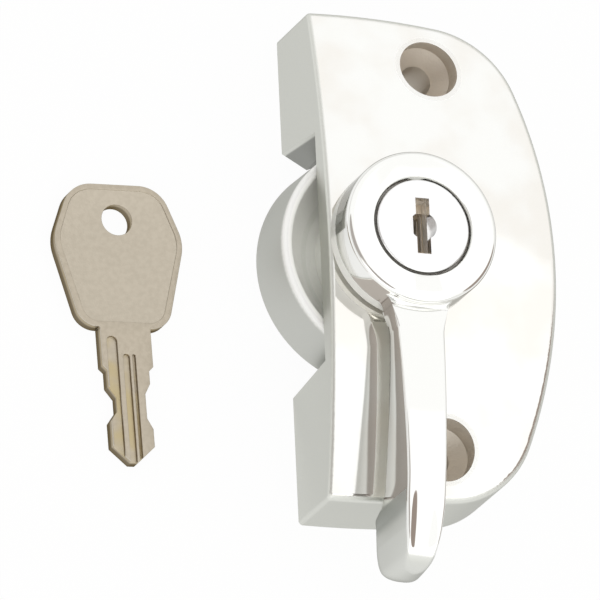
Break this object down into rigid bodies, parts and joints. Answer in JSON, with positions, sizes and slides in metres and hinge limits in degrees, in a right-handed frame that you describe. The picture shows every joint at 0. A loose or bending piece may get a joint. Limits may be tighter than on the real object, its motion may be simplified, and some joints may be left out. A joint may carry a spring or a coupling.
{
  "type": "window pivot lock",
  "caption": "Surface-mounted cam lock for a pivoting window: domed D-shaped body, lever with key barrel, dished cam at the side, and a loose flat key.",
  "frame": {"origin": "on the flat back plane, midway between the two screw holes", "axes": "+X from the flat side to the round side, +Y along the body away from the lever's tip, +Z out of the face"},
  "size_m": [0.0685, 0.0829, 0.0242],
  "materials": {
    "housing_chrome": "bright chrome plate on zinc die casting",
    "lever_chrome": "bright chrome plate on zinc die casting",
    "cam_chrome": "satin chrome plate on zinc die casting",
    "washer_nylon": "natural nylon",
    "washer_steel": "zinc-plated steel",
    "spring_steel": "spring steel",
    "circlip_steel": "phosphated spring steel",
    "sleeve_brass": "turned brass",
    "plug_chrome": "chrome plate on brass",
    "clip_steel": "spring steel",
    "pin_steel": "ground steel",
    "wafer_brass": "stamped brass",
    "key_nickel": "worn nickel plate on brass"
  },
  "bodies": {
    "housing": {"housing": "housing_chrome"},
    "lever": {"lever": "lever_chrome", "cam": "cam_chrome", "friction_washer": "washer_nylon", "cam_washer": "washer_steel", "disc_spring": "spring_steel", "circlip": "circlip_steel", "lock_sleeve": "sleeve_brass", "barrel_pin": "pin_steel"},
    "plug": {"plug": "plug_chrome", "plug_clip": "clip_steel", "upper_wafer_springs": "spring_steel", "lower_wafer_springs": "spring_steel"},
    "locking_pin": {"locking_pin": "pin_steel"},
    "upper_wafers": {"upper_wafer_1": "wafer_brass", "upper_wafer_2": "wafer_brass", "upper_wafer_3": "wafer_brass", "upper_wafer_4": "wafer_brass"},
    "lower_wafers": {"lower_wafer_1": "wafer_brass", "lower_wafer_2": "wafer_brass", "lower_wafer_3": "wafer_brass"},
    "key": {"key": "key_nickel"}
  },
  "joints": [
    {"name": "lever_turn", "type": "hinge", "parent": "housing", "child": "lever", "pos_m": [-0.0059, 0.0008, 0], "axis": [0, 0, 1], "range_deg": [0, 180]},
    {"name": "plug_turn", "type": "hinge", "parent": "lever", "child": "plug", "pos_m": [-0.0059, 0.0008, 0], "axis": [0, 0, 1], "range_deg": [0, 90]},
    {"name": "locking_pin_slide", "type": "slide", "parent": "lever", "child": "locking_pin", "axis": [1, 0, 0], "range_m": [0, 0.001]},
    {"name": "upper_wafers_slide", "type": "slide", "parent": "plug", "child": "upper_wafers", "axis": [0, 1, 0], "range_m": [0, 0.0004], "deforming": ["upper_wafer_springs"]},
    {"name": "lower_wafers_slide", "type": "slide", "parent": "plug", "child": "lower_wafers", "axis": [0, -1, 0], "range_m": [0, 0.0004], "deforming": ["lower_wafer_springs"]},
    {"name": "key_lift", "type": "slide", "parent": "housing", "child": "key", "axis": [0, 0, 1], "range_m": [0, 0.04]}
  ],
  "couplings": [
    {"joint": "locking_pin_slide", "follows": "plug_turn", "m_per_rad": 0.00063662},
    {"joint": "lower_wafers_slide", "follows": "upper_wafers_slide", "ratio": 1}
  ]
}
